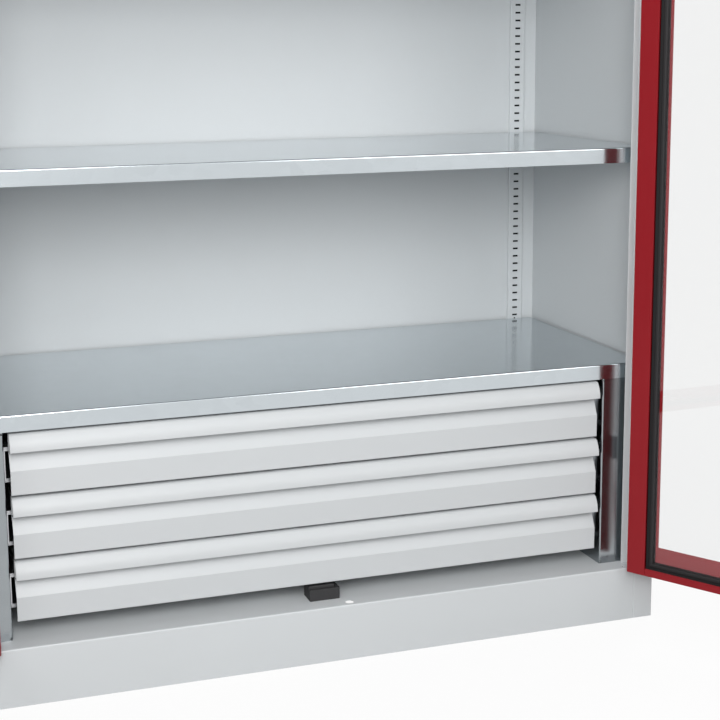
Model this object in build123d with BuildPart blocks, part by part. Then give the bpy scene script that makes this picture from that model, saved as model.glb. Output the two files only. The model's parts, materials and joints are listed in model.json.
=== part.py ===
"""Heavy-duty two-door storage cabinet with shelves, three drawers and windowed doors.

The cabinet stands on the XY plane with the origin under its middle. Its front faces -Y.
It is drawn with the doors open, as it stands in use, and with the drawers shut.
"""

import os
from math import radians, sin

from build123d import *

os.makedirs("parts", exist_ok=True)

# Carcass
width = 1200.0
depth = 500.0
height = 1950.0
carcass_sheet = 1.2
bend = 2.5
weld_gap = 0.2
cut_overrun = 2.0

# Corner posts, header and door opening
post_face = 37.5
header_face = 37.5
reveal_depth = 26.0
stop_flange = 11.5
rear_return = 20.0

# Plinth
plinth_height = 95.0
plinth_frame_sheet = 1.5
plinth_frame_flange = 30.0

# Slotted shelf rails
rail_width = 31.0
rail_depth = 5.0
rail_sheet = 1.2
rear_rail_inset = 42.0
front_rail_setback = 66.0
slot_width = 11.0
slot_height = 3.5
slot_pitch = 15.0
first_slot_height = 464.0
peg_hole_radius = 2.0
peg_hole_drop = 7.5

# Shelves
shelf_sheet = 1.25
shelf_thickness = 26.0
shelf_setback = 36.5
shelf_side_gap = 0.8
shelf_rear_gap = 0.3
shelf_return = 14.0
shelf_slot_counts = (22, 47, 72)

# Shelf clips
clip_sheet = 2.0
clip_width = 24.0
clip_reach = 22.0
clip_drop = 20.0
clip_hook_width = 10.0
clip_hook_height = 2.7
clip_hook_length = 3.6
clip_slot_drop = 12.0

# Drawer uprights
upright_sheet = 1.5
upright_gap = 513.0
upright_setback = 36.5
upright_rear_gap = 20.0
upright_return = 20.0
upright_side_gap = 0.6
relief_radius = 1.5
relief_drop = 3.0
drawer_housing_height = 336.0

# Drawers
drawer_count = 3
drawer_pitch = 102.4
drawer_front_height = 98.5
front_side_gap = 9.0
lowest_drawer_gap = 28.7
drawer_sheet = 1.2
drawer_bend = 1.6
drawer_face_setback = 39.0
drawer_face_height = 39.0
recess_depth = 13.5
recess_height = 28.0
lip_reach = 11.0
lip_height = 27.5
lip_crown_radius = 8.0
lip_lean_angle = 38.0
front_top_depth = 28.0
front_rear_flange = 34.0
front_bottom_return = 13.0
tray_sheet = 1.0
tray_length = 400.0
tray_height = 70.0
tray_lift = 8.0

# Telescopic slides
slide_space = 17.0
slide_sheet = 1.8
slide_bend = 2.0
slide_height = 56.0
slide_length = 385.0
slide_centre_lift = 45.0
slide_front_gap = 4.0
slide_running_gap = 0.3
slide_side_gap = 0.8

# Doors
door_rest_angle = 121.0
door_sheet = 1.2
door_thickness = 24.5
door_side_gap = 1.5
door_bottom_gap = 2.0
door_top_gap = 2.0
meeting_gap = 3.0
hinge_lip = 34.0
free_lip = 58.0
cross_lip = 13.0
corner_seam = 0.6
window_hinge_margin = 48.0
window_free_margin = 72.0
window_cross_margin = 48.0

# Pane and its rubber profile
pane_thickness = 4.0
pane_edge = 8.0
seal_width = 14.0
seal_height = 13.0
seal_pane_lift = 4.0
seal_base_height = 10.0
seal_ridge_width = 7.5
seal_round = 2.4
seal_edge = 1.0
seal_window_gap = 5.0
seal_cross_margin = 20.5

# Hinges
hinge_offset = 4.8
barrel_radius = 4.5
pin_radius = 2.6
pin_clearance = 0.05
pin_collar_height = 1.5
knuckle_height = 20.0
knuckle_gap = 0.1
leaf_width = 26.0
leaf_thickness = 2.0
hinge_end_distance = 196.0

# Lock
lock_height = 1050.0
lock_inset = 35.0
lock_depth = 14.0
rod_radius = 5.0
rod_hole_radius = 7.5
rod_end_gap = 1.0
guide_clearance = 0.1

# Places that several pieces share
front_y = -depth / 2
back_y = depth / 2
wall_x = width / 2 - carcass_sheet
back_wall_y = back_y - 2 * carcass_sheet
post_x = width / 2 - post_face
flange_x = post_x - stop_flange
flange_y = front_y + reveal_depth
roof_bottom = height - carcass_sheet
opening_top = height - header_face
shelf_half = wall_x - rail_depth - shelf_side_gap
shelf_front_y = front_y + shelf_setback
shelf_rear_y = back_wall_y - rail_depth - shelf_rear_gap
drawer_shelf_bottom = plinth_height + drawer_housing_height
drawer_front_half = upright_gap - front_side_gap
tray_half = upright_gap - slide_space
hinge_x = post_x - door_side_gap / 2
hinge_y = front_y - hinge_offset
door_width = post_x - door_side_gap - meeting_gap / 2
door_bottom = plinth_height + door_bottom_gap
door_top = opening_top - door_top_gap
door_height = door_top - door_bottom
door_middle = (door_bottom + door_top) / 2
rod_x = meeting_gap / 2 + lock_inset
rod_y = front_y + lock_depth


def keep(piece, name):
    """Label a finished piece and write it to its own file."""
    piece.label = name
    export_step(piece, f"parts/{name}.step")


def bent_sheet(plane, corners, sheet, radius, side):
    """The section of a folded sheet that follows its outer corners."""
    with BuildSketch(plane) as section:
        with BuildLine():
            FilletPolyline(*corners, radius=radius)
            offset(amount=sheet, side=side)
        make_face()
    return section.sketch


# Side panels: each is one folded sheet from the rear return to the door stop flange.
# Below the ledge the stop flange is cut away, so that the floor panel runs under it.
with BuildPart() as right_side_panel:
    side_corners = [
        (width / 2 - rear_return, back_y),
        (width / 2, back_y),
        (width / 2, front_y),
        (post_x, front_y),
        (post_x, flange_y),
        (flange_x, flange_y),
    ]
    extrude(bent_sheet(Plane.XY, side_corners, carcass_sheet, bend, Side.RIGHT), amount=roof_bottom)
    with BuildSketch(Plane.XY):
        with Locations((post_x - cut_overrun, flange_y)):
            Rectangle(2 * (stop_flange + bend), 2 * (carcass_sheet + bend))
    extrude(amount=plinth_height, mode=Mode.SUBTRACT)
keep(right_side_panel.part, "right_side_panel")

with BuildPart() as left_side_panel:
    mirror(right_side_panel.part, about=Plane.YZ)
keep(left_side_panel.part, "left_side_panel")

# Back panel, welded inside the rear returns
with BuildPart() as back_panel:
    with BuildSketch(Plane.XY):
        with Locations((0, back_wall_y + carcass_sheet / 2)):
            Rectangle(2 * (width / 2 - bend), carcass_sheet)
    extrude(amount=roof_bottom)
keep(back_panel.part, "back_panel")

# Floor panel: the ledge folds down into the plinth front between the two posts
plinth_half = post_x - weld_gap
floor_rear_start = flange_y + bend + carcass_sheet
rod_hole_centres = [(rod_x, rod_y)]
drain_hole_radius = 2.5
drain_hole_side = 18.5
drain_hole_setback = 9.0
with BuildPart() as floor_panel:
    ledge_corners = [
        (back_wall_y, plinth_height),
        (front_y, plinth_height),
        (front_y, 0),
    ]
    ledge = bent_sheet(Plane.YZ, ledge_corners, carcass_sheet, bend, Side.LEFT)
    extrude(ledge, amount=plinth_half, both=True)
    with BuildSketch(Plane.XY.offset(plinth_height)):
        with Locations((0, (floor_rear_start + back_wall_y) / 2)):
            Rectangle(2 * (wall_x - weld_gap), back_wall_y - floor_rear_start)
    extrude(amount=-carcass_sheet)
    with BuildSketch(Plane.XY.offset(plinth_height)):
        with Locations(*rod_hole_centres):
            Circle(rod_hole_radius)
        with Locations(
            (post_x - drain_hole_side, front_y + drain_hole_setback),
            (drain_hole_side - post_x, front_y + drain_hole_setback),
        ):
            Circle(drain_hole_radius)
    extrude(amount=-(carcass_sheet + cut_overrun), mode=Mode.SUBTRACT)
keep(floor_panel.part, "floor_panel")

# Plinth frame: a ring of upright sheet with a foot flange all round, under the floor panel
with BuildPart() as plinth_frame:
    frame_front_y = front_y + bend
    frame_depth = back_wall_y - frame_front_y
    frame_middle_y = (back_wall_y + frame_front_y) / 2
    frame_wall = 2 * plinth_frame_sheet
    frame_foot = 2 * plinth_frame_flange
    with BuildSketch(Plane.XY):
        with Locations((0, frame_middle_y)):
            Rectangle(2 * plinth_half, frame_depth)
            Rectangle(2 * plinth_half - frame_wall, frame_depth - frame_wall, mode=Mode.SUBTRACT)
    extrude(amount=plinth_height - carcass_sheet)
    with BuildSketch(Plane.XY):
        with Locations((0, frame_middle_y)):
            Rectangle(2 * plinth_half, frame_depth)
            Rectangle(2 * plinth_half - frame_foot, frame_depth - frame_foot, mode=Mode.SUBTRACT)
    extrude(amount=plinth_frame_sheet)
keep(plinth_frame.part, "plinth_frame")

# Roof panel: it lies on the sides and folds down into the header and its door stop flange
with BuildPart() as roof_panel:
    header_corners = [
        (back_y, height),
        (front_y, height),
        (front_y, opening_top),
        (flange_y, opening_top),
        (flange_y, opening_top - stop_flange),
    ]
    header = bent_sheet(Plane.YZ, header_corners, carcass_sheet, bend, Side.LEFT)
    extrude(header, amount=plinth_half, both=True)
    with BuildSketch(Plane.XY.offset(height)):
        Rectangle(width, depth)
    extrude(amount=-carcass_sheet)
    # Room for the stop flanges of the sides at both ends of the header
    with BuildSketch(Plane.XY.offset(opening_top + bend + carcass_sheet)):
        with Locations((plinth_half, flange_y), (-plinth_half, flange_y)):
            Rectangle(2 * (stop_flange + weld_gap), 2 * (bend + carcass_sheet))
    extrude(amount=-(stop_flange + 2 * bend + cut_overrun), mode=Mode.SUBTRACT)
    with BuildSketch(Plane.XY.offset(opening_top)):
        with Locations(*rod_hole_centres):
            Circle(rod_hole_radius)
    extrude(amount=carcass_sheet + cut_overrun, mode=Mode.SUBTRACT)
keep(roof_panel.part, "roof_panel")

# Shelf rails: slotted channels on the back wall and on the side walls.
# Local x runs across the rail, local y points into the wall behind it.
rear_rail_x = wall_x - rear_rail_inset
front_rail_y = front_y + front_rail_setback
rail_planes = {
    "rear_right": Plane((rear_rail_x, back_wall_y, 0), x_dir=(1, 0, 0)),
    "rear_left": Plane((-rear_rail_x, back_wall_y, 0), x_dir=(1, 0, 0)),
    "front_right": Plane((wall_x, front_rail_y, 0), x_dir=(0, -1, 0)),
    "front_left": Plane((-wall_x, front_rail_y, 0), x_dir=(0, 1, 0)),
}
slot_count = int((opening_top - first_slot_height) / slot_pitch)


def rail_face(rail_plane):
    """The front face of a rail: x across it, y up, looking out of the wall."""
    origin = rail_plane.from_local_coords((0, -rail_depth, 0))
    return Plane(origin, x_dir=rail_plane.x_dir, z_dir=-rail_plane.y_dir)


for place, rail_plane in rail_planes.items():
    with BuildPart() as shelf_rail:
        rail_corners = [
            (-rail_width / 2, 0),
            (-rail_width / 2, -rail_depth),
            (rail_width / 2, -rail_depth),
            (rail_width / 2, 0),
        ]
        channel = bent_sheet(rail_plane, rail_corners, rail_sheet, rail_sheet + weld_gap, Side.LEFT)
        extrude(channel, amount=opening_top)
        with BuildSketch(Plane.XY):
            Rectangle(2 * width, 2 * depth)
        extrude(amount=plinth_height, mode=Mode.SUBTRACT)
        with BuildSketch(rail_face(rail_plane)):
            with Locations((0, first_slot_height + slot_pitch * (slot_count - 1) / 2)):
                with GridLocations(0, slot_pitch, 1, slot_count):
                    Rectangle(slot_width, slot_height)
            with Locations((0, first_slot_height - peg_hole_drop)):
                Circle(peg_hole_radius)
        extrude(amount=-(rail_sheet + cut_overrun), mode=Mode.SUBTRACT)
    keep(shelf_rail.part, f"shelf_rail_{place}")

# Shelves: trays turned upside down, with returns along the front and rear lips
shelf_bottoms = [drawer_shelf_bottom]
for slot_count_below in shelf_slot_counts:
    shelf_bottoms.append(first_slot_height + slot_count_below * slot_pitch + clip_slot_drop)
shelf_depth = shelf_rear_y - shelf_front_y
shelf_middle_y = (shelf_front_y + shelf_rear_y) / 2
return_middles = [
    (0, shelf_front_y + shelf_return / 2),
    (0, shelf_rear_y - shelf_return / 2),
]
for number, shelf_bottom in enumerate(shelf_bottoms, start=1):
    with BuildPart() as shelf:
        with BuildSketch(Plane.XY.offset(shelf_bottom)):
            with Locations((0, shelf_middle_y)):
                Rectangle(2 * shelf_half, shelf_depth)
        extrude(amount=shelf_thickness)
        fillet(shelf.faces().sort_by(Axis.Z)[-1].edges(), radius=bend)
        offset(amount=-shelf_sheet, openings=shelf.faces().sort_by(Axis.Z)[0])
        with BuildSketch(Plane.XY.offset(shelf_bottom)):
            with Locations(*return_middles):
                Rectangle(2 * (shelf_half - shelf_sheet), shelf_return)
        extrude(amount=shelf_sheet)
    keep(shelf.part, f"shelf_{number}")

# Shelf clips: angle brackets under the adjustable shelves, hooked into the rail slots
with BuildPart() as shelf_clips:
    for rail_plane in rail_planes.values():
        for shelf_bottom in shelf_bottoms[1:]:
            seat = rail_plane.from_local_coords((0, -rail_depth, shelf_bottom))
            clip_plane = Plane(seat, x_dir=rail_plane.x_dir, z_dir=(0, 0, 1))
            hook_plane = Plane(seat, x_dir=rail_plane.x_dir, z_dir=-rail_plane.y_dir)
            with BuildSketch(clip_plane):
                with Locations((0, -clip_reach / 2)):
                    Rectangle(clip_width, clip_reach)
            extrude(amount=-clip_sheet)
            with BuildSketch(hook_plane):
                with Locations((0, -clip_drop / 2)):
                    Rectangle(clip_width, clip_drop)
            extrude(amount=clip_sheet)
            with BuildSketch(hook_plane):
                with Locations((0, -clip_slot_drop)):
                    Rectangle(clip_hook_width, clip_hook_height)
            extrude(amount=-clip_hook_length)
keep(shelf_clips.part, "shelf_clips")

# Drawer uprights: folded channels that carry the slides and the shelf over the drawers.
# Small holes relieve the front fold at its two ends.
upright_front_y = front_y + upright_setback
upright_rear_y = back_wall_y - upright_rear_gap
upright_outer_x = wall_x - rail_depth - upright_side_gap
with BuildPart() as right_drawer_upright:
    upright_corners = [
        (upright_outer_x, upright_front_y + upright_return),
        (upright_outer_x, upright_front_y),
        (upright_gap, upright_front_y),
        (upright_gap, upright_rear_y),
        (upright_gap + upright_return, upright_rear_y),
    ]
    base = Plane.XY.offset(plinth_height)
    channel = bent_sheet(base, upright_corners, upright_sheet, bend, Side.RIGHT)
    extrude(channel, amount=drawer_housing_height)
    relief_levels = [plinth_height + relief_drop, drawer_shelf_bottom - relief_drop]
    with BuildSketch(Plane.XZ.offset(-upright_front_y)):
        with Locations(*[(upright_gap + bend, level) for level in relief_levels]):
            Circle(relief_radius)
    extrude(amount=bend + upright_sheet, both=True, mode=Mode.SUBTRACT)
keep(right_drawer_upright.part, "right_drawer_upright")

with BuildPart() as left_drawer_upright:
    mirror(right_drawer_upright.part, about=Plane.YZ)
keep(left_drawer_upright.part, "left_drawer_upright")

# Drawers: folded front with a pull lip, a narrower tray, and a pair of three-part slides behind
# the ends of the front
drawer_face_y = front_y + drawer_face_setback
lip_y = drawer_face_y - lip_reach
front_top_y = lip_y + front_top_depth
lean_share = sin(radians(lip_lean_angle))
lip_radius = (lip_height - lip_crown_radius * (1 - lean_share)) / lean_share
right_angle = 90.0
tray_middle_y = front_top_y + tray_length / 2
slide_start_y = front_top_y + slide_front_gap


def slide_pair(plane, near_x, far_x, tall, middle, side):
    """A pair of channel rails whose webs stand at near_x, one on each side of the cabinet."""
    channel_corners = [
        (far_x, middle - tall / 2),
        (near_x, middle - tall / 2),
        (near_x, middle + tall / 2),
        (far_x, middle + tall / 2),
    ]
    with BuildPart() as rails:
        section = bent_sheet(plane, channel_corners, slide_sheet, slide_bend, side)
        extrude(section, amount=-slide_length)
        mirror(about=Plane.YZ)
    return rails.part


step = slide_sheet + slide_running_gap
slide_plane = Plane.XZ.offset(-slide_start_y)
fixed_tip_x = tray_half + slide_side_gap
middle_web_x = upright_gap - step
middle_tip_x = tray_half + slide_sheet + slide_side_gap
inner_tip_x = middle_web_x - step
for number in range(1, drawer_count + 1):
    bottom = plinth_height + lowest_drawer_gap + drawer_pitch * (drawer_count - number)
    top = bottom + drawer_front_height
    lip_bottom = top - lip_height
    with BuildPart() as drawer_front:
        with BuildSketch(Plane.YZ) as front_section:
            with BuildLine():
                recess = FilletPolyline(
                    (drawer_face_y + front_bottom_return, bottom),
                    (drawer_face_y, bottom),
                    (drawer_face_y, bottom + drawer_face_height),
                    (drawer_face_y + recess_depth, bottom + drawer_face_height + recess_height),
                    (lip_y, lip_bottom),
                    radius=drawer_bend,
                )
                lip = JernArc(recess @ 1, tangent=(0, 1), radius=lip_radius, arc_size=-lip_lean_angle)
                crown = JernArc(
                    lip @ 1, tangent=lip % 1, radius=lip_crown_radius, arc_size=lip_lean_angle - right_angle
                )
                FilletPolyline(
                    crown @ 1,
                    (front_top_y, top),
                    (front_top_y, top - front_rear_flange),
                    radius=drawer_bend,
                )
                offset(amount=drawer_sheet, side=Side.RIGHT)
            make_face()
        extrude(amount=drawer_front_half, both=True)
    keep(drawer_front.part, f"drawer_{number}_front")

    with BuildPart() as drawer_tray:
        with BuildSketch(Plane.XY.offset(bottom + tray_lift)):
            with Locations((0, tray_middle_y)):
                Rectangle(2 * tray_half, tray_length)
        extrude(amount=tray_height)
        fillet(drawer_tray.faces().sort_by(Axis.Z)[0].edges(), radius=bend)
        offset(amount=-tray_sheet, openings=drawer_tray.faces().sort_by(Axis.Z)[-1])
    keep(drawer_tray.part, f"drawer_{number}_tray")

    middle = bottom + slide_centre_lift
    middle_height = slide_height - 2 * step
    inner_height = middle_height - 2 * step
    fixed_rails = slide_pair(slide_plane, upright_gap, fixed_tip_x, slide_height, middle, Side.LEFT)
    keep(fixed_rails, f"drawer_{number}_fixed_rails")
    middle_rails = slide_pair(slide_plane, middle_web_x, middle_tip_x, middle_height, middle, Side.LEFT)
    keep(middle_rails, f"drawer_{number}_middle_rails")
    inner_rails = slide_pair(slide_plane, tray_half, inner_tip_x, inner_height, middle, Side.RIGHT)
    keep(inner_rails, f"drawer_{number}_inner_rails")

# Door stop block: a moulded block on the ledge, with a higher back part
block_width = 52.0
block_length = 34.0
block_height = 20.0
block_setback = 34.0
block_step_height = 4.5
block_step_length = 28.0
block_step_width = 44.0
block_round = 1.0
with BuildPart() as door_stop_block:
    block_front_y = front_y + block_setback
    block_rear_y = block_front_y + block_length
    with BuildSketch(Plane.XY.offset(plinth_height)):
        with Locations((0, (block_front_y + block_rear_y) / 2)):
            Rectangle(block_width, block_length)
    extrude(amount=block_height)
    with BuildSketch(Plane.XY.offset(plinth_height + block_height)):
        with Locations(((block_step_width - block_width) / 2, block_rear_y - block_step_length / 2)):
            Rectangle(block_step_width, block_step_length)
    extrude(amount=block_step_height)
    fillet(door_stop_block.faces().filter_by(Axis.Z)[1:].edges(), radius=block_round)
keep(door_stop_block.part, "door_stop_block")

# The left door is drawn in its own frame: local x from its hinge edge towards its free edge,
# local y from its front face inwards, local z up. The right door is its mirror image.
swung = Plane((-hinge_x, hinge_y, 0)).rotated((0, 0, -door_rest_angle))
door_plane = Plane(
    swung.from_local_coords((door_side_gap / 2, hinge_offset, 0)), x_dir=swung.x_dir, z_dir=(0, 0, 1)
)
outward = Axis(door_plane.origin, -door_plane.y_dir)


def door_face(inset):
    """A plane parallel to the door's front at a depth: x from the hinge edge, y up, z outwards."""
    origin = door_plane.from_local_coords((0, inset, 0))
    return Plane(origin, x_dir=door_plane.x_dir, z_dir=-door_plane.y_dir)


def door_level(level):
    """A level plane through the door: x from the hinge edge, y inwards."""
    origin = door_plane.from_local_coords((0, 0, level))
    return Plane(origin, x_dir=door_plane.x_dir, z_dir=(0, 0, 1))


def door_frame(hinge_margin, free_margin, cross_margin):
    """A rectangle in the door's face that keeps a margin to each door edge."""
    centre = (hinge_margin + door_width - free_margin) / 2
    with Locations((centre, door_middle)):
        Rectangle(door_width - hinge_margin - free_margin, door_height - 2 * cross_margin)


def door_frame_cut(hinge_margin, free_margin, cross_margin):
    """The same rectangle taken out of the sketch."""
    centre = (hinge_margin + door_width - free_margin) / 2
    with Locations((centre, door_middle)):
        Rectangle(
            door_width - hinge_margin - free_margin,
            door_height - 2 * cross_margin,
            mode=Mode.SUBTRACT,
        )


# Door skin: a folded pan with inner lips all round and a large window
with BuildPart() as left_door_skin:
    with BuildSketch(door_face(door_thickness)):
        door_frame(0, 0, 0)
    extrude(amount=door_thickness)
    fillet(left_door_skin.faces().sort_by(outward)[-1].edges(), radius=bend)
    offset(amount=-door_sheet, openings=left_door_skin.faces().sort_by(outward)[0])
    with BuildSketch(door_face(door_thickness)):
        door_frame(0, 0, 0)
        door_frame_cut(hinge_lip, free_lip, cross_lip)
    extrude(amount=door_sheet)
    # The cross lips butt against the upright lips
    with BuildSketch(door_face(door_thickness)):
        for seam_x in (hinge_lip, door_width - free_lip):
            with Locations((seam_x, door_bottom + bend), (seam_x, door_top - bend)):
                Rectangle(corner_seam, 2 * cross_lip)
        with Locations((door_width / 2, door_middle)):
            Rectangle(door_width, door_height - 2 * bend, mode=Mode.INTERSECT)
    extrude(amount=door_sheet, mode=Mode.SUBTRACT)
    with BuildSketch(door_face(0)):
        door_frame(window_hinge_margin, window_free_margin, window_cross_margin)
    extrude(amount=-(door_sheet + cut_overrun), mode=Mode.SUBTRACT)
keep(left_door_skin.part, "left_door_skin")

# Pane seal: a rubber profile round the window that grips the edge of the pane.
# A low outer half lies under the door's lips, and a rounded ridge stands along the inner half.
seal_hinge_margin = window_hinge_margin - seal_window_gap
seal_free_margin = window_free_margin - seal_window_gap
with BuildPart() as left_pane_seal:
    with BuildSketch(door_face(door_sheet)):
        door_frame(
            seal_hinge_margin - seal_width, seal_free_margin - seal_width, seal_cross_margin - seal_width
        )
        door_frame_cut(seal_hinge_margin, seal_free_margin, seal_cross_margin)
    extrude(amount=-seal_base_height)
    fillet(left_pane_seal.faces().sort_by(outward)[0].edges(), radius=seal_edge)
    with BuildSketch(door_face(door_sheet)):
        door_frame(
            seal_hinge_margin - seal_ridge_width,
            seal_free_margin - seal_ridge_width,
            seal_cross_margin - seal_ridge_width,
        )
        door_frame_cut(seal_hinge_margin, seal_free_margin, seal_cross_margin)
    extrude(amount=-seal_height)
    fillet(left_pane_seal.faces().sort_by(outward)[0].edges(), radius=seal_round)
    with BuildSketch(door_face(door_sheet + seal_pane_lift)):
        door_frame(
            seal_hinge_margin - pane_edge, seal_free_margin - pane_edge, seal_cross_margin - pane_edge
        )
    extrude(amount=-pane_thickness, mode=Mode.SUBTRACT)
keep(left_pane_seal.part, "left_pane_seal")

# Pane: a clear sheet that fills the groove of its seal
with BuildPart() as left_pane:
    with BuildSketch(door_face(door_sheet + seal_pane_lift)):
        door_frame(
            seal_hinge_margin - pane_edge, seal_free_margin - pane_edge, seal_cross_margin - pane_edge
        )
    extrude(amount=-pane_thickness)
keep(left_pane.part, "left_pane")

# Hinges: the lower knuckle and its pin sit on the post, the upper knuckle on the door
hinge_levels = [
    door_bottom + hinge_end_distance,
    door_middle,
    door_top - hinge_end_distance,
]
hinge_local = (-door_side_gap / 2, -hinge_offset)
with BuildPart() as left_post_knuckles:
    for level in hinge_levels:
        with BuildSketch(Plane.XY.offset(level - knuckle_height)):
            with Locations((-hinge_x, hinge_y)):
                Circle(barrel_radius)
            with Locations((-hinge_x - leaf_width / 2, front_y - leaf_thickness / 2)):
                Rectangle(leaf_width, leaf_thickness)
            with Locations((-hinge_x, hinge_y)):
                Circle(pin_radius + pin_clearance, mode=Mode.SUBTRACT)
        extrude(amount=knuckle_height)
keep(left_post_knuckles.part, "left_post_knuckles")

with BuildPart() as left_hinge_pins:
    for level in hinge_levels:
        with BuildSketch(Plane.XY.offset(level - knuckle_height)):
            with Locations((-hinge_x, hinge_y)):
                Circle(pin_radius)
        extrude(amount=2 * knuckle_height + pin_collar_height)
        with BuildSketch(Plane.XY.offset(level)):
            with Locations((-hinge_x, hinge_y)):
                Circle(barrel_radius)
        extrude(amount=pin_collar_height)
keep(left_hinge_pins.part, "left_hinge_pins")

with BuildPart() as left_door_knuckles:
    for level in hinge_levels:
        with BuildSketch(door_level(level + pin_collar_height + knuckle_gap)):
            with Locations(hinge_local):
                Circle(barrel_radius)
            with Locations((leaf_width / 2 - door_side_gap / 2, -leaf_thickness / 2)):
                Rectangle(leaf_width, leaf_thickness)
            with Locations(hinge_local):
                Circle(pin_radius + pin_clearance, mode=Mode.SUBTRACT)
        extrude(amount=knuckle_height)
keep(left_door_knuckles.part, "left_door_knuckles")

# Meeting strip on the left door: it laps behind the right door's free edge
strip_sheet = 1.2
strip_seat = 20.0
strip_lap = 14.0
strip_clearance = 0.5
strip_end_gap = 4.0
strip_bottom = door_bottom + strip_end_gap
strip_top = opening_top - stop_flange - strip_end_gap
with BuildPart() as meeting_strip:
    strip_step_x = door_width + meeting_gap / 2 - strip_sheet
    strip_corners = [
        (door_width - strip_seat, door_thickness),
        (door_width - strip_seat, door_thickness + strip_sheet),
        (strip_step_x, door_thickness + strip_sheet),
        (strip_step_x, door_thickness + strip_sheet + strip_clearance),
        (door_width + meeting_gap + strip_lap, door_thickness + strip_sheet + strip_clearance),
        (door_width + meeting_gap + strip_lap, door_thickness + strip_clearance),
        (strip_step_x + strip_sheet, door_thickness + strip_clearance),
        (strip_step_x + strip_sheet, door_thickness),
    ]
    with BuildSketch(door_level(strip_bottom)):
        with BuildLine():
            Polyline(*strip_corners, close=True)
        make_face()
    extrude(amount=strip_top - strip_bottom)
keep(meeting_strip.part, "meeting_strip")

# Stop buffer: a rubber pad on the strip that meets the stop block when the doors are shut
buffer_width = 16.0
buffer_tall = 12.0
buffer_gap = 0.3
buffer_round = 1.5
buffer_seat = door_thickness + strip_sheet
with BuildPart() as stop_buffer:
    with BuildSketch(door_face(buffer_seat)):
        with Locations((door_width - buffer_width / 2, strip_bottom + buffer_tall / 2)):
            Rectangle(buffer_width, buffer_tall)
    extrude(amount=-(block_setback - buffer_seat - buffer_gap))
    fillet(stop_buffer.faces().sort_by(outward)[0].edges(), radius=buffer_round)
keep(stop_buffer.part, "stop_buffer")

# Right door: the mirror image of the left one, with holes for the lock and its rods
lock_x = door_width - lock_inset
spindle_hole_radius = 9.0
with BuildPart() as lock_door_skin:
    add(left_door_skin.part)
    with BuildSketch(door_face(0)):
        with Locations((lock_x, lock_height)):
            Circle(spindle_hole_radius)
    extrude(amount=-(door_sheet + cut_overrun), mode=Mode.SUBTRACT)
    for edge_level in (door_bottom, door_top):
        with BuildSketch(door_level(edge_level - door_sheet - cut_overrun)):
            with Locations((lock_x, lock_depth)):
                Circle(rod_radius + rod_end_gap)
        extrude(amount=2 * (door_sheet + cut_overrun), mode=Mode.SUBTRACT)

with BuildPart() as right_door_skin:
    mirror(lock_door_skin.part, about=Plane.YZ)
keep(right_door_skin.part, "right_door_skin")

right_hand_pieces = {
    "right_pane_seal": left_pane_seal,
    "right_pane": left_pane,
    "right_post_knuckles": left_post_knuckles,
    "right_hinge_pins": left_hinge_pins,
    "right_door_knuckles": left_door_knuckles,
}
for name, left_piece in right_hand_pieces.items():
    with BuildPart() as right_piece:
        mirror(left_piece.part, about=Plane.YZ)
    keep(right_piece.part, name)

# Lock rosette: a shallow ring on the door's outside that the knob turns on
rosette_radius = 26.0
rosette_height = 4.0
rosette_bevel = 1.5
spindle_side = 8.0
knob_gap = 0.3
with BuildPart() as left_hand_rosette:
    with BuildSketch(door_face(0)):
        with Locations((lock_x, lock_height)):
            Circle(rosette_radius)
            Circle(spindle_hole_radius, mode=Mode.SUBTRACT)
    extrude(amount=rosette_height)
    chamfer(
        left_hand_rosette.faces().sort_by(outward)[-1].edges().sort_by(SortBy.LENGTH)[-1],
        length=rosette_bevel,
    )
with BuildPart() as lock_rosette:
    mirror(left_hand_rosette.part, about=Plane.YZ)
keep(lock_rosette.part, "lock_rosette")

# Lock knob: a round hub with a wing grip across it and a bore for the lock cylinder
knob_radius = 21.0
knob_hub_height = 10.0
grip_length = 62.0
grip_width = 24.0
grip_height = 18.0
grip_bevel = 2.5
cylinder_radius = 7.0
cylinder_length = 16.0
cylinder_clearance = 0.05
knob_plane = door_face(-(rosette_height + knob_gap))
with BuildPart() as left_hand_knob:
    with BuildSketch(knob_plane):
        with Locations((lock_x, lock_height)):
            Circle(knob_radius)
    extrude(amount=knob_hub_height)
    with BuildSketch(knob_plane.offset(knob_hub_height)):
        with Locations((lock_x, lock_height)):
            SlotOverall(grip_length, grip_width)
    extrude(amount=grip_height)
    chamfer(left_hand_knob.faces().sort_by(outward)[-1].edges(), length=grip_bevel)
    with BuildSketch(knob_plane.offset(knob_hub_height + grip_height)):
        with Locations((lock_x, lock_height)):
            Circle(cylinder_radius + cylinder_clearance)
    extrude(amount=-cylinder_length, mode=Mode.SUBTRACT)
with BuildPart() as lock_knob:
    mirror(left_hand_knob.part, about=Plane.YZ)
keep(lock_knob.part, "lock_knob")

# Lock cylinder with its key slot
key_slot_length = 8.5
key_slot_width = 2.2
key_slot_depth = 8.0
with BuildPart() as left_hand_cylinder:
    cylinder_face = knob_plane.offset(knob_hub_height + grip_height)
    with BuildSketch(cylinder_face):
        with Locations((lock_x, lock_height)):
            Circle(cylinder_radius)
    extrude(amount=-cylinder_length)
    with BuildSketch(cylinder_face):
        with Locations((lock_x, lock_height)):
            Rectangle(key_slot_width, key_slot_length)
    extrude(amount=-key_slot_depth, mode=Mode.SUBTRACT)
with BuildPart() as lock_cylinder:
    mirror(left_hand_cylinder.part, about=Plane.YZ)
keep(lock_cylinder.part, "lock_cylinder")

# Lock spindle: a square bar from the knob to the drive disc
disc_radius = 12.0
disc_thickness = 4.0
disc_depth = lock_depth - disc_thickness / 2
with BuildPart() as left_hand_spindle:
    with BuildSketch(knob_plane):
        with Locations((lock_x, lock_height)):
            Rectangle(spindle_side, spindle_side)
    extrude(amount=-(rosette_height + knob_gap + disc_depth + disc_thickness))
with BuildPart() as lock_spindle:
    mirror(left_hand_spindle.part, about=Plane.YZ)
keep(lock_spindle.part, "lock_spindle")

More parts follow.
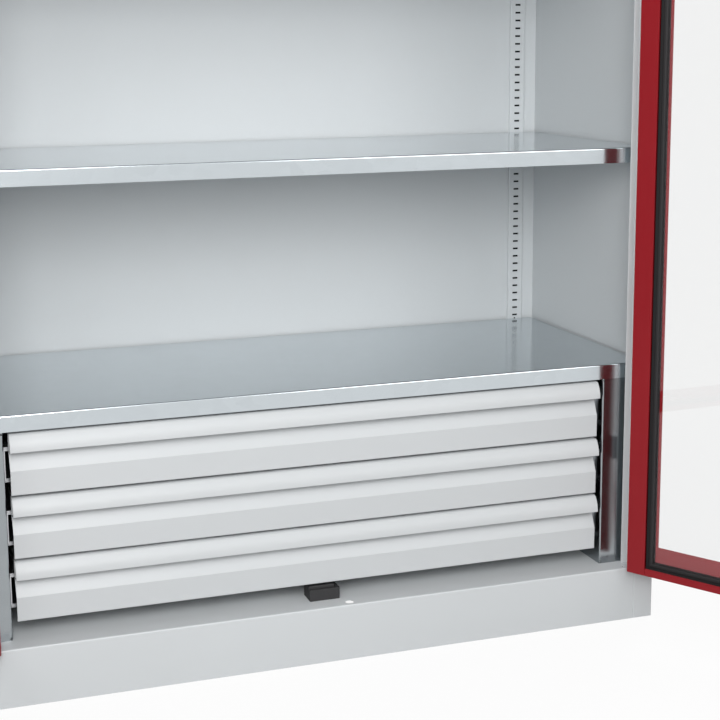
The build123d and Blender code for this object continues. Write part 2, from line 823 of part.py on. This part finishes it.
# Drive disc on the spindle, between the inner ends of the two rods
with BuildPart() as left_hand_disc:
    with BuildSketch(door_face(disc_depth)):
        with Locations((lock_x, lock_height)):
            Circle(disc_radius)
            Rectangle(spindle_side, spindle_side, mode=Mode.SUBTRACT)
    extrude(amount=-disc_thickness)
with BuildPart() as lock_drive_disc:
    mirror(left_hand_disc.part, about=Plane.YZ)
keep(lock_drive_disc.part, "lock_drive_disc")

# Lock case: a cover over the drive disc, open towards the front sheet and slotted for the rods
case_half_width = 14.5
case_half_height = 28.0
case_sheet = 1.0
case_depth = door_thickness - 2 * door_sheet - case_sheet
with BuildPart() as left_hand_case:
    with BuildSketch(door_face(door_sheet)):
        with Locations((lock_x, lock_height)):
            Rectangle(2 * case_half_width, 2 * case_half_height)
    extrude(amount=-case_depth)
    fillet(left_hand_case.faces().sort_by(outward)[0].edges(), radius=bend)
    offset(amount=-case_sheet, openings=left_hand_case.faces().sort_by(outward)[-1])
    with BuildSketch(door_level(lock_height - case_half_height - cut_overrun)):
        with Locations((lock_x, lock_depth)):
            Circle(rod_radius + rod_end_gap)
    extrude(amount=2 * (case_half_height + cut_overrun), mode=Mode.SUBTRACT)
with BuildPart() as lock_case:
    mirror(left_hand_case.part, about=Plane.YZ)
keep(lock_case.part, "lock_case")

# Lock rods: drawn in, with their outer ends just inside the door's edges
rod_end_round = 2.0
rod_start = disc_radius + rod_end_gap
rod_spans = {
    "upper_lock_rod": (lock_height + rod_start, door_top - door_sheet),
    "lower_lock_rod": (door_bottom + door_sheet, lock_height - rod_start),
}
for name, (rod_bottom, rod_top) in rod_spans.items():
    with BuildPart() as left_hand_rod:
        with BuildSketch(door_level(rod_bottom)):
            with Locations((lock_x, lock_depth)):
                Circle(rod_radius)
        extrude(amount=rod_top - rod_bottom)
        chamfer(left_hand_rod.edges().filter_by(GeomType.CIRCLE), length=rod_end_round)
    with BuildPart() as lock_rod:
        mirror(left_hand_rod.part, about=Plane.YZ)
    keep(lock_rod.part, name)

# Rod guides: moulded blocks on the front sheet with a bore for the rod
guide_width = 22.0
guide_tall = 20.0
guide_depth = 19.0
guide_round = 2.0
guide_end_distance = 45.0
guide_middle_distance = 420.0
guide_levels = [
    door_bottom + guide_end_distance,
    lock_height - guide_middle_distance,
    lock_height + guide_middle_distance,
    door_top - guide_end_distance,
]
with BuildPart() as left_hand_guides:
    for level in guide_levels:
        with BuildSketch(door_face(door_sheet)):
            with Locations((lock_x, level)):
                RectangleRounded(guide_width, guide_tall, guide_round)
        extrude(amount=-guide_depth)
        with BuildSketch(door_level(level - guide_tall / 2 - cut_overrun)):
            with Locations((lock_x, lock_depth)):
                Circle(rod_radius + guide_clearance)
        extrude(amount=guide_tall + 2 * cut_overrun, mode=Mode.SUBTRACT)
with BuildPart() as rod_guides:
    mirror(left_hand_guides.part, about=Plane.YZ)
keep(rod_guides.part, "rod_guides")
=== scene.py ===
import json
import math

import bmesh
import bpy
from mathutils import Matrix, Vector


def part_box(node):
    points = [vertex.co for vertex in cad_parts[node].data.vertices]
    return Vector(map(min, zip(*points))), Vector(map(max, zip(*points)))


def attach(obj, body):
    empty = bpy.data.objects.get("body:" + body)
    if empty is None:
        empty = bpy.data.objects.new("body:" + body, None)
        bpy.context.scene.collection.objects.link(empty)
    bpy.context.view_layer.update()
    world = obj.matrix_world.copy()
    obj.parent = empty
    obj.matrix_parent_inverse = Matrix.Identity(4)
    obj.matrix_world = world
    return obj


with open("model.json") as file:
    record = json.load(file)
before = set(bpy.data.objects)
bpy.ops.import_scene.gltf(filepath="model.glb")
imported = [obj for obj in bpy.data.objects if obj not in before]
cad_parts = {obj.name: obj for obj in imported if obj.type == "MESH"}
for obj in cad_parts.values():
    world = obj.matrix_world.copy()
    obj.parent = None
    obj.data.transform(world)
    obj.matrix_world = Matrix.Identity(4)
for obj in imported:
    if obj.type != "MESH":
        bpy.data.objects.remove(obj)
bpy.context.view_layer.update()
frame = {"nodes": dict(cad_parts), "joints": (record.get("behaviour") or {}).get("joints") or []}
nodes = frame["nodes"]

# Side panels, back, roof and plinth: thin steel sheet, folded and spot welded into one carcass and
# powder coated light grey as a whole. The coat is even, with a fine orange-peel skin.
LIGHT_GREY = (0.575, 0.600, 0.612)
CARCASS_GLOSS = (0.40, 0.52)
COAT_SHINE = 0.5
CLOUDS_PER_METRE = 3.0
CLOUD_DETAIL = 3.0
CLOUD_TONES = (0.975, 1.025)
PEEL_PER_METRE = 420.0
PEEL_DETAIL = 2.0
PEEL_STRENGTH = 0.18
PEEL_HEIGHT = 0.0002


def add_node(tree, kind, **values):
    """One shader node with its plain input values set."""
    made = tree.nodes.new(kind)
    for socket, value in values.items():
        made.inputs[socket].default_value = value
    return made


def shade(colour, factor):
    """A colour made darker or lighter, with full alpha."""
    return (colour[0] * factor, colour[1] * factor, colour[2] * factor, 1.0)


def vary_tone(tree, colour, tones, pattern, socket):
    """Let a pattern carry a colour from its darkest to its lightest tone."""
    tone = tree.nodes.new("ShaderNodeMix")
    tone.data_type = "RGBA"
    tone.inputs["A"].default_value = shade(colour, tones[0])
    tone.inputs["B"].default_value = shade(colour, tones[1])
    tree.links.new(pattern, tone.inputs["Factor"])
    tree.links.new(tone.outputs["Result"], socket)


def vary_gloss(tree, gloss, pattern, socket):
    """Let a pattern carry the roughness from its smoothest to its dullest value."""
    spread = tree.nodes.new("ShaderNodeMapRange")
    spread.inputs["To Min"].default_value = gloss[0]
    spread.inputs["To Max"].default_value = gloss[1]
    tree.links.new(pattern, spread.inputs["Value"])
    tree.links.new(spread.outputs["Result"], socket)


def powder_coat(name, colour, gloss, shine):
    """Baked powder paint: faint clouds in the colour, a fine peel in the gloss and in the skin."""
    coat = bpy.data.materials.new(name)
    coat.use_nodes = True
    tree = coat.node_tree
    paint = tree.nodes["Principled BSDF"]
    paint.inputs["Specular IOR Level"].default_value = shine
    place = tree.nodes.new("ShaderNodeTexCoord")

    clouds = add_node(tree, "ShaderNodeTexNoise", Scale=CLOUDS_PER_METRE, Detail=CLOUD_DETAIL)
    tree.links.new(place.outputs["Object"], clouds.inputs["Vector"])
    vary_tone(tree, colour, CLOUD_TONES, clouds.outputs["Fac"], paint.inputs["Base Color"])

    peel = add_node(tree, "ShaderNodeTexNoise", Scale=PEEL_PER_METRE, Detail=PEEL_DETAIL)
    skin = add_node(tree, "ShaderNodeBump", Strength=PEEL_STRENGTH, Distance=PEEL_HEIGHT)
    tree.links.new(place.outputs["Object"], peel.inputs["Vector"])
    vary_gloss(tree, gloss, peel.outputs["Fac"], paint.inputs["Roughness"])
    tree.links.new(peel.outputs["Fac"], skin.inputs["Height"])
    tree.links.new(skin.outputs["Normal"], paint.inputs["Normal"])
    return coat


def coat_nodes(coat, *names):
    """Give CAD pieces their finish."""
    for name in names:
        for slot in nodes[name].material_slots:
            slot.material = coat


carcass_coat = powder_coat("carcass_coat", LIGHT_GREY, CARCASS_GLOSS, COAT_SHINE)
coat_nodes(
    carcass_coat,
    "left_side_panel",
    "right_side_panel",
    "back_panel",
    "roof_panel",
    "floor_panel",
    "plinth_frame",
)

# Spot welds: the back is welded to the rear returns of the sides, and each weld leaves a shallow
# ring in the sheet under the coat. They stand in one row a side, evenly spaced from foot to roof.
HEAD_SIDES = 24
HEAD_CREASE = math.radians(35.0)
WELD_RINGS = (
    (0.0034, 0.0, 0),
    (0.0029, 0.00018, 0),
    (0.0023, 0.00012, 0),
    (0.0012, 0.00004, 0),
)
WELD_FROM_EDGE = 0.010
WELD_LOWEST = 0.105
WELD_PITCH = 0.1575
WELD_COUNT = 12
BACKWARDS = (0.0, 1.0, 0.0)


def set_heads(name, spots, rings, finish, body):
    """Small turned heads in one mesh. A ring has a radius, a height and its corners, or none."""
    heads = bmesh.new()
    for spot, facing in spots:
        turn = Vector(facing).to_track_quat("Z", "Y")
        last = None
        for radius, rise, corners in rings:
            ring = []
            for step in range(HEAD_SIDES):
                angle = 2.0 * math.pi * step / HEAD_SIDES
                reach = radius
                if corners:
                    half = math.pi / corners
                    reach = radius * math.cos(half) / math.cos(angle % (2.0 * half) - half)
                point = Vector((reach * math.cos(angle), reach * math.sin(angle), rise))
                ring.append(heads.verts.new(Vector(spot) + turn @ point))
            if last:
                for step in range(HEAD_SIDES):
                    after = (step + 1) % HEAD_SIDES
                    heads.faces.new((last[step], last[after], ring[after], ring[step]))
            else:
                heads.faces.new(reversed(ring))
            last = ring
        heads.faces.new(last)
    mesh = bpy.data.meshes.new(name)
    heads.to_mesh(mesh)
    heads.free()
    mesh.polygons.foreach_set("use_smooth", [True] * len(mesh.polygons))
    mesh.set_sharp_from_angle(angle=HEAD_CREASE)
    mesh.materials.append(finish)
    piece = bpy.data.objects.new(name, mesh)
    bpy.context.scene.collection.objects.link(piece)
    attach(piece, body)


panel_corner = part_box("right_side_panel")[1]
weld_spots = []
for number in range(WELD_COUNT):
    height = WELD_LOWEST + number * WELD_PITCH
    for side in (-1.0, 1.0):
        spot = (side * (panel_corner[0] - WELD_FROM_EDGE), panel_corner[1], height)
        weld_spots.append((spot, BACKWARDS))
set_heads("back_welds", weld_spots, WELD_RINGS, carcass_coat, "carcass")

# Shelf rails: slotted channels of thin sheet, spot welded to the walls in the four corners before
# the carcass is coated, so they carry the same light grey. Inside each channel lies a near-black
# trough, painted shade that darkens the slots.
SLOT_SHADE = (0.012, 0.013, 0.014)
SLOT_SHADE_GLOSS = (0.75, 0.85)
SLOT_SHADE_SHINE = 0.1
SLOT_SHADE_DEPTH = 0.0044
SLOT_SHADE_FILM = 0.0003
RAIL_SHEET = 0.0016
RAIL_FACINGS = {
    "rear_left": BACKWARDS,
    "rear_right": BACKWARDS,
    "front_left": (-1.0, 0.0, 0.0),
    "front_right": (1.0, 0.0, 0.0),
}
rail_shade_coat = powder_coat("rail_shade_coat", SLOT_SHADE, SLOT_SHADE_GLOSS, SLOT_SHADE_SHINE)


def shade_rail_inside(name, rail, inwards):
    """A near-black trough of painted shade inside a rail, behind its slots."""
    low, high = (Vector(corner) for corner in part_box(rail))
    inwards = Vector(inwards)
    across = Vector((0.0, 0.0, 1.0)).cross(inwards)
    middle = (low + high) / 2.0
    front = middle - inwards * abs((high - low).dot(inwards)) / 2.0
    half_width = abs((high - low).dot(across)) / 2.0 - RAIL_SHEET
    inner_half = half_width - SLOT_SHADE_FILM
    inner_depth = SLOT_SHADE_DEPTH - SLOT_SHADE_FILM
    outline = (
        (-half_width, RAIL_SHEET),
        (-half_width, SLOT_SHADE_DEPTH),
        (half_width, SLOT_SHADE_DEPTH),
        (half_width, RAIL_SHEET),
        (inner_half, RAIL_SHEET),
        (inner_half, inner_depth),
        (-inner_half, inner_depth),
        (-inner_half, RAIL_SHEET),
    )
    end_walls = ((0, 1, 6, 7), (1, 2, 5, 6), (2, 3, 4, 5))
    trough = bmesh.new()
    ends = []
    for height in (low.z + RAIL_SHEET, high.z - RAIL_SHEET):
        rim = []
        for offset, depth in outline:
            point = front + across * offset + inwards * depth
            rim.append(trough.verts.new((point.x, point.y, height)))
        for wall in end_walls:
            trough.faces.new([rim[corner] for corner in wall])
        ends.append(rim)
    for corner in range(len(outline)):
        after = (corner + 1) % len(outline)
        trough.faces.new((ends[0][corner], ends[0][after], ends[1][after], ends[1][corner]))
    bmesh.ops.recalc_face_normals(trough, faces=trough.faces)
    mesh = bpy.data.meshes.new(name)
    trough.to_mesh(mesh)
    trough.free()
    mesh.materials.append(rail_shade_coat)
    piece = bpy.data.objects.new(name, mesh)
    bpy.context.scene.collection.objects.link(piece)
    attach(piece, "carcass")


for corner, inwards in RAIL_FACINGS.items():
    coat_nodes(carcass_coat, f"shelf_rail_{corner}")
    shade_rail_inside(f"rail_shade_trough_{corner}", f"shelf_rail_{corner}", inwards)

# Shelves and their clips: folded from zinc-coated sheet and left bare. The zinc is bright and a
# little blue, with faint spangle and the fine lines of the rolling mill along the shelf.
ZINC = (0.575, 0.62, 0.648)
SHELF_GLOSS = (0.09, 0.19)
MILL_LINES = (6.0, 900.0, 900.0)
LINE_DETAIL = 4.0
SPANGLE_PER_METRE = 45.0
SPANGLE_TONES = (0.98, 1.02)


def bare_metal(name, colour, gloss, lines, spangle, tones):
    """Bare sheet metal: crystal patches in the tone and drawn lines in the gloss."""
    metal = bpy.data.materials.new(name)
    metal.use_nodes = True
    tree = metal.node_tree
    face = tree.nodes["Principled BSDF"]
    face.inputs["Metallic"].default_value = 1.0
    place = tree.nodes.new("ShaderNodeTexCoord")

    crystals = add_node(tree, "ShaderNodeTexVoronoi", Scale=spangle)
    tree.links.new(place.outputs["Object"], crystals.inputs["Vector"])
    vary_tone(tree, colour, tones, crystals.outputs["Color"], face.inputs["Base Color"])

    along = tree.nodes.new("ShaderNodeMapping")
    along.inputs["Scale"].default_value = lines
    drawn = add_node(tree, "ShaderNodeTexNoise", Scale=1.0, Detail=LINE_DETAIL)
    tree.links.new(place.outputs["Object"], along.inputs["Vector"])
    tree.links.new(along.outputs["Vector"], drawn.inputs["Vector"])
    vary_gloss(tree, gloss, drawn.outputs["Fac"], face.inputs["Roughness"])
    return metal


zinc_sheet = bare_metal(
    "zinc_sheet", ZINC, SHELF_GLOSS, MILL_LINES, SPANGLE_PER_METRE, SPANGLE_TONES
)
coat_nodes(zinc_sheet, "shelf_1", "shelf_2", "shelf_3", "shelf_4", "shelf_clips")

# Drawer uprights: folded channels of zinc sheet, coloured darker than the shelves, that stand on
# the floor panel, carry the slides and hold up the lowest shelf. The rolling lines run up the
# channel.
DARK_ZINC = (0.33, 0.355, 0.37)
UPRIGHT_GLOSS = (0.13, 0.22)
UPRIGHT_LINES = (900.0, 900.0, 6.0)
upright_zinc = bare_metal(
    "upright_zinc", DARK_ZINC, UPRIGHT_GLOSS, UPRIGHT_LINES, SPANGLE_PER_METRE, SPANGLE_TONES
)
coat_nodes(upright_zinc, "left_drawer_upright", "right_drawer_upright")

# Drawers: folded fronts with a rounded pull lip, welded to shallow trays, all powder coated in a
# slightly darker grey than the carcass. They run on three-part ball slides of plated steel.
DRAWER_GREY = (0.525, 0.546, 0.557)
DRAWER_GLOSS = (0.38, 0.50)
PLATED = (0.56, 0.57, 0.59)
PLATED_GLOSS = (0.22, 0.36)
PLATED_SPANGLE = 80.0
SLIDE_LINES = (900.0, 6.0, 900.0)
drawer_coat = powder_coat("drawer_coat", DRAWER_GREY, DRAWER_GLOSS, COAT_SHINE)
slide_steel = bare_metal(
    "slide_steel", PLATED, PLATED_GLOSS, SLIDE_LINES, PLATED_SPANGLE, SPANGLE_TONES
)
for number in (1, 2, 3):
    coat_nodes(drawer_coat, f"drawer_{number}_front", f"drawer_{number}_tray")
    coat_nodes(
        slide_steel,
        f"drawer_{number}_fixed_rails",
        f"drawer_{number}_middle_rails",
        f"drawer_{number}_inner_rails",
    )

# Door stop block: a moulded block of black plastic with a pebbled skin, screwed to the ledge in the
# middle of the front, where the rubber buffer of the shut door meets it.
BLACK = (0.022, 0.022, 0.023)
PLASTIC_GLOSS = (0.46, 0.62)
PLASTIC_GRAIN = 1400.0
PLASTIC_SHINE = 0.4
GRAIN_DETAIL = 3.0
GRAIN_TONES = (0.8, 1.25)
GRAIN_STRENGTH = 0.3
GRAIN_HEIGHT = 0.0002


def moulded(name, colour, gloss, grain, shine):
    """Moulded plastic or rubber: a pebbled skin in the gloss and in the surface."""
    skin = bpy.data.materials.new(name)
    skin.use_nodes = True
    tree = skin.node_tree
    body = tree.nodes["Principled BSDF"]
    body.inputs["Specular IOR Level"].default_value = shine
    place = tree.nodes.new("ShaderNodeTexCoord")
    pebbles = add_node(tree, "ShaderNodeTexNoise", Scale=grain, Detail=GRAIN_DETAIL)
    bumps = add_node(tree, "ShaderNodeBump", Strength=GRAIN_STRENGTH, Distance=GRAIN_HEIGHT)
    tree.links.new(place.outputs["Object"], pebbles.inputs["Vector"])
    vary_tone(tree, colour, GRAIN_TONES, pebbles.outputs["Fac"], body.inputs["Base Color"])
    vary_gloss(tree, gloss, pebbles.outputs["Fac"], body.inputs["Roughness"])
    tree.links.new(pebbles.outputs["Fac"], bumps.inputs["Height"])
    tree.links.new(bumps.outputs["Normal"], body.inputs["Normal"])
    return skin


black_plastic = moulded("black_plastic", BLACK, PLASTIC_GLOSS, PLASTIC_GRAIN, PLASTIC_SHINE)
coat_nodes(black_plastic, "door_stop_block")

# Hinges: turned knuckles with a leaf, of zinc-plated steel, on a plain pin. The lower half is
# screwed to the post and the upper half to the door, each with two small socket screws.
BRIGHT_STEEL = (0.45, 0.45, 0.46)
STEEL_GLOSS = (0.28, 0.42)
STEEL_LINES = (700.0, 700.0, 700.0)
STEEL_SPANGLE = 120.0
HINGE_SPACING = 0.71075
KNUCKLE_HALF = 0.010
COLLAR = 0.0016
LEAF = 0.002
LEAF_SCREWS = (0.0105, 0.0205)
EDGE_FROM_AXIS = 0.00075
FACE_FROM_AXIS = 0.0048
FORWARDS = (0.0, -1.0, 0.0)
SCREW_RINGS = (
    (0.0030, 0.0, 0),
    (0.0030, 0.0005, 0),
    (0.0027, 0.0010, 0),
    (0.0020, 0.0013, 0),
    (0.0016, 0.00135, 0),
    (0.0014, 0.00125, 6),
    (0.0013, 0.0003, 6),
)


def on_door(side, along, inwards, height):
    """A point on an open door, measured from its hinge edge and its outer face."""
    reach = along + EDGE_FROM_AXIS
    depth = inwards + FACE_FROM_AXIS
    across = hinge_x - reach * math.cos(door_open) - depth * math.sin(door_open)
    ahead = hinge_y - reach * math.sin(door_open) + depth * math.cos(door_open)
    return (side * across, ahead, height)


def door_facing(side, outwards):
    """The way that the outer or the inner face of an open door looks."""
    return (side * outwards * math.sin(door_open), -outwards * math.cos(door_open), 0.0)


right_hinge = next(joint for joint in frame["joints"] if joint["name"] == "right_door_hinge")
hinge_x, hinge_y, middle_hinge = right_hinge["pos_m"]
hinge_levels = (middle_hinge - HINGE_SPACING, middle_hinge, middle_hinge + HINGE_SPACING)
door_open = math.radians(-right_hinge["range_deg"][0])
bright_steel = bare_metal(
    "bright_steel", BRIGHT_STEEL, STEEL_GLOSS, STEEL_LINES, STEEL_SPANGLE, SPANGLE_TONES
)
post_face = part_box("left_post_knuckles")[1][1] - LEAF
for side, hand in ((-1.0, "left"), (1.0, "right")):
    coat_nodes(bright_steel, f"{hand}_post_knuckles", f"{hand}_door_knuckles", f"{hand}_hinge_pins")
    post_spots = []
    door_spots = []
    for level in hinge_levels:
        for away in LEAF_SCREWS:
            spot = (side * (hinge_x + away), post_face, level - KNUCKLE_HALF)
            post_spots.append((spot, FORWARDS))
            spot = on_door(side, away - EDGE_FROM_AXIS, -LEAF, level + COLLAR + KNUCKLE_HALF)
            door_spots.append((spot, door_facing(side, 1.0)))
    set_heads(
        f"{hand}_post_screws", post_spots, SCREW_RINGS, bright_steel, "carcass"
    )
    set_heads(
        f"{hand}_door_screws", door_spots, SCREW_RINGS, bright_steel, f"{hand}_door"
    )

# Doors: folded pans of steel sheet with inner lips all round and a large window, powder coated
# ruby red. The meeting strip on the left door is coated with it.
RUBY = (0.250, 0.0050, 0.0100)
RUBY_GLOSS = (0.34, 0.46)
RUBY_SHINE = 0.3
door_coat = powder_coat("door_coat", RUBY, RUBY_GLOSS, RUBY_SHINE)
coat_nodes(door_coat, "left_door_skin", "right_door_skin", "meeting_strip")

# Strip rivets: the meeting strip is held to the left door's free edge by one row of blind rivets,
# set from the inside and coated over with the door.
RIVET_RINGS = (
    (0.0030, 0.0, 0),
    (0.0030, 0.0002, 0),
    (0.0024, 0.0006, 0),
    (0.0014, 0.0008, 0),
    (0.0010, 0.0008, 0),
    (0.0009, 0.0003, 0),
)
STRIP_ALONG = 0.549
STRIP_FACE = 0.0257
RIVET_LOWEST = 0.205
RIVET_PITCH = 0.232
RIVET_COUNT = 8
rivet_spots = []
for number in range(RIVET_COUNT):
    spot = on_door(-1.0, STRIP_ALONG, STRIP_FACE, RIVET_LOWEST + number * RIVET_PITCH)
    rivet_spots.append((spot, door_facing(-1.0, -1.0)))
set_heads("strip_rivets", rivet_spots, RIVET_RINGS, door_coat, "left_door")

# Panes: clear acrylic sheet, 4 mm thick, with a faint haze of handling, held in a black rubber
# profile that is pressed on round the window from the inside. The stop buffer is the same rubber.
PANE_TINT = (0.880, 0.885, 0.885, 1.0)
ACRYLIC_IOR = 1.49
PANE_SHINE = 0.25
PANE_GLOSS = (0.0, 0.04)
HAZE_PER_METRE = 7.0
HAZE_DETAIL = 3.0
RUBBER_BLACK = (0.020, 0.019, 0.020)
RUBBER_GLOSS = (0.68, 0.80)
RUBBER_GRAIN = 700.0
RUBBER_SHINE = 0.3
PANES = ("left_pane", "right_pane")
pane_clear = bpy.data.materials.new("pane_clear")
pane_clear.use_nodes = True
pane_tree = pane_clear.node_tree
clear = pane_tree.nodes["Principled BSDF"]
clear.inputs["Base Color"].default_value = PANE_TINT
clear.inputs["Transmission Weight"].default_value = 1.0
clear.inputs["IOR"].default_value = ACRYLIC_IOR
clear.inputs["Specular IOR Level"].default_value = PANE_SHINE
pane_place = pane_tree.nodes.new("ShaderNodeTexCoord")
haze = add_node(pane_tree, "ShaderNodeTexNoise", Scale=HAZE_PER_METRE, Detail=HAZE_DETAIL)
pane_tree.links.new(pane_place.outputs["Object"], haze.inputs["Vector"])
vary_gloss(pane_tree, PANE_GLOSS, haze.outputs["Fac"], clear.inputs["Roughness"])
coat_nodes(pane_clear, *PANES)
for name in PANES:
    nodes[name].visible_shadow = False
black_rubber = moulded("black_rubber", RUBBER_BLACK, RUBBER_GLOSS, RUBBER_GRAIN, RUBBER_SHINE)
coat_nodes(black_rubber, "left_pane_seal", "right_pane_seal", "stop_buffer")

# Lock: a turning knob of black plastic on a rosette outside, with a chromed cylinder. Behind the
# door sheet are a steel case with the drive disc and two steel rods, which run up and down to the
# frame in plastic guides.
CHROME = (0.74, 0.74, 0.75)
CHROME_GLOSS = (0.06, 0.12)
CHROME_SPANGLE = 200.0
CHROME_TONES = (0.99, 1.01)
chrome = bare_metal("chrome", CHROME, CHROME_GLOSS, STEEL_LINES, CHROME_SPANGLE, CHROME_TONES)
coat_nodes(chrome, "lock_cylinder")
coat_nodes(black_plastic, "lock_rosette", "lock_knob", "rod_guides")
coat_nodes(bright_steel, "lock_spindle", "lock_drive_disc", "lock_case")
coat_nodes(bright_steel, "upper_lock_rod", "lower_lock_rod")

# Studio floor: a plain white sheet, laid flat under the cabinet. The camera, metal and panes see it
# as white, the more so further off, and it still takes a soft shadow.
FLOOR_HALF = 14.0
FLOOR_SEEN = (0.80, 0.80, 0.80, 1.0)
FLOOR_BOUNCE = (0.33, 0.33, 0.33, 1.0)
FLOOR_GLOW = 0.92
GLOW_NEAR = 0.8
GLOW_FAR = 1.9


def join_values(tree, operation, first, second):
    """Two values put through one step of arithmetic."""
    made = tree.nodes.new("ShaderNodeMath")
    made.operation = operation
    tree.links.new(first, made.inputs[0])
    tree.links.new(second, made.inputs[1])
    return made.outputs["Value"]


def in_sight(tree, rays):
    """One for what the camera sees straight, in metal or through a pane, and zero for the rest."""
    mirrored = join_values(
        tree, "MAXIMUM", rays.outputs["Is Camera Ray"], rays.outputs["Is Glossy Ray"]
    )
    return join_values(tree, "MAXIMUM", mirrored, rays.outputs["Is Transmission Ray"])


floor_mesh = bpy.data.meshes.new("studio_floor")
floor_mesh.from_pydata(
    [
        (-FLOOR_HALF, -FLOOR_HALF, 0),
        (FLOOR_HALF, -FLOOR_HALF, 0),
        (FLOOR_HALF, FLOOR_HALF, 0),
        (-FLOOR_HALF, FLOOR_HALF, 0),
    ],
    [],
    [(0, 1, 2, 3)],
)
studio_floor = bpy.data.objects.new("studio_floor", floor_mesh)
bpy.context.scene.collection.objects.link(studio_floor)
floor_white = bpy.data.materials.new("floor_white")
floor_white.use_nodes = True
floor_tree = floor_white.node_tree
floor_tree.nodes.remove(floor_tree.nodes["Principled BSDF"])
floor_rays = floor_tree.nodes.new("ShaderNodeLightPath")
sheet = floor_tree.nodes.new("ShaderNodeMix")
sheet.data_type = "RGBA"
sheet.inputs["A"].default_value = FLOOR_SEEN
sheet.inputs["B"].default_value = FLOOR_BOUNCE
lit = floor_tree.nodes.new("ShaderNodeBsdfDiffuse")
floor_tree.links.new(floor_rays.outputs["Is Diffuse Ray"], sheet.inputs["Factor"])
floor_tree.links.new(sheet.outputs["Result"], lit.inputs["Color"])
floor_place = floor_tree.nodes.new("ShaderNodeTexCoord")
distance = floor_tree.nodes.new("ShaderNodeVectorMath")
distance.operation = "LENGTH"
whiter = floor_tree.nodes.new("ShaderNodeMapRange")
whiter.inputs["From Min"].default_value = GLOW_NEAR
whiter.inputs["From Max"].default_value = GLOW_FAR
whiter.inputs["To Min"].default_value = FLOOR_GLOW
whiter.inputs["To Max"].default_value = 1.0
floor_tree.links.new(floor_place.outputs["Object"], distance.inputs[0])
floor_tree.links.new(distance.outputs["Value"], whiter.inputs["Value"])
glow = add_node(floor_tree, "ShaderNodeEmission", Strength=1.0)
glow_share = join_values(
    floor_tree, "MULTIPLY", in_sight(floor_tree, floor_rays), whiter.outputs["Result"]
)
blend = floor_tree.nodes.new("ShaderNodeMixShader")
floor_tree.links.new(glow_share, blend.inputs["Fac"])
floor_tree.links.new(lit.outputs["BSDF"], blend.inputs[1])
floor_tree.links.new(glow.outputs["Emission"], blend.inputs[2])
floor_tree.links.new(
    blend.outputs["Shader"], floor_tree.nodes["Material Output"].inputs["Surface"]
)
floor_mesh.materials.append(floor_white)

# Studio light: a soft lamp beside the camera, one high above it, one on each hand, and three behind
# and over the cabinet, none of which glints in the panes. The surround is white to the camera, in
# metal and through the panes, and adds a little fill.
WHITE = (1.0, 1.0, 1.0, 1.0)
AMBIENT = 0.05
FRONT_AIM = (0.1, 0.0, 0.6)
BACK_AIM = (0.0, 0.0, 0.9)
ROOF_AIM = (0.0, 0.0, 1.9)
# Each lamp's name, place, aim, width in metres and power in watts
LAMPS = (
    ("key_lamp", (-0.7, -2.6, 1.4), FRONT_AIM, 1.0, 43.0),
    ("high_lamp", (-0.4, -2.4, 2.5), FRONT_AIM, 1.2, 22.0),
    ("left_lamp", (-2.2, -2.8, 1.6), FRONT_AIM, 1.6, 27.0),
    ("right_lamp", (1.6, -3.0, 1.8), FRONT_AIM, 1.6, 27.0),
    ("rear_left_lamp", (-3.0, 2.3, 2.2), BACK_AIM, 1.6, 75.0),
    ("rear_right_lamp", (3.0, 2.3, 2.2), BACK_AIM, 1.6, 75.0),
    ("roof_lamp", (0.0, 1.2, 3.4), ROOF_AIM, 1.6, 18.0),
)
surround = bpy.data.worlds.new("studio_surround")
bpy.context.scene.world = surround
surround.use_nodes = True
sky = surround.node_tree
backdrop = sky.nodes["Background"]
backdrop.inputs["Color"].default_value = WHITE
sky_rays = sky.nodes.new("ShaderNodeLightPath")
brightness = sky.nodes.new("ShaderNodeMapRange")
brightness.inputs["To Min"].default_value = AMBIENT
brightness.inputs["To Max"].default_value = 1.0
sky.links.new(in_sight(sky, sky_rays), brightness.inputs["Value"])
sky.links.new(brightness.outputs["Result"], backdrop.inputs["Strength"])

glint_free = bpy.data.collections.new("glint_free")
for name in PANES:
    glint_free.objects.link(nodes[name])
for member in glint_free.collection_objects:
    member.light_linking.link_state = "EXCLUDE"

for name, place, target, size, power in LAMPS:
    light = bpy.data.lights.new(name, "AREA")
    light.shape = "SQUARE"
    light.size = size
    light.energy = power
    lamp = bpy.data.objects.new(name, light)
    lamp.location = place
    lamp.visible_transmission = False
    lamp.light_linking.receiver_collection = glint_free
    lamp.rotation_euler = (Vector(target) - Vector(place)).to_track_quat("-Z", "Y").to_euler()
    bpy.context.scene.collection.objects.link(lamp)

# Camera: close to the photograph's place, turned to the right and a little down. The lens shift is
# small, which leaves room over the roof when the cabinet is looked at from other sides.
SENSOR = 36.0
LENS = 75.50
SHIFT_RIGHT = 20.0 / 720.0
SHIFT_UP = -0.07
CAMERA_PLACE = (-0.7287, -2.4995, 1.0239)
YAW = math.radians(18.411)
PITCH = math.radians(10.297)
ROLL = math.radians(-0.550)
camera_data = bpy.data.cameras.new("camera")
camera_data.sensor_width = SENSOR
camera_data.lens = LENS
camera_data.shift_x = SHIFT_RIGHT
camera_data.shift_y = SHIFT_UP
camera = bpy.data.objects.new("camera", camera_data)
flat_ahead = Vector((math.sin(YAW), math.cos(YAW), 0.0))
ahead = math.cos(PITCH) * flat_ahead - math.sin(PITCH) * Vector((0.0, 0.0, 1.0))
level_right = Vector((math.cos(YAW), -math.sin(YAW), 0.0))
level_up = level_right.cross(ahead)
right = math.cos(ROLL) * level_right + math.sin(ROLL) * level_up
up = right.cross(ahead)
camera.matrix_world = Matrix.Translation(CAMERA_PLACE) @ Matrix(
    (
        (right.x, up.x, -ahead.x, 0.0),
        (right.y, up.y, -ahead.y, 0.0),
        (right.z, up.z, -ahead.z, 0.0),
        (0.0, 0.0, 0.0, 1.0),
    )
)
bpy.context.scene.collection.objects.link(camera)
bpy.context.scene.camera = camera
bpy.context.scene.view_settings.view_transform = "Standard"
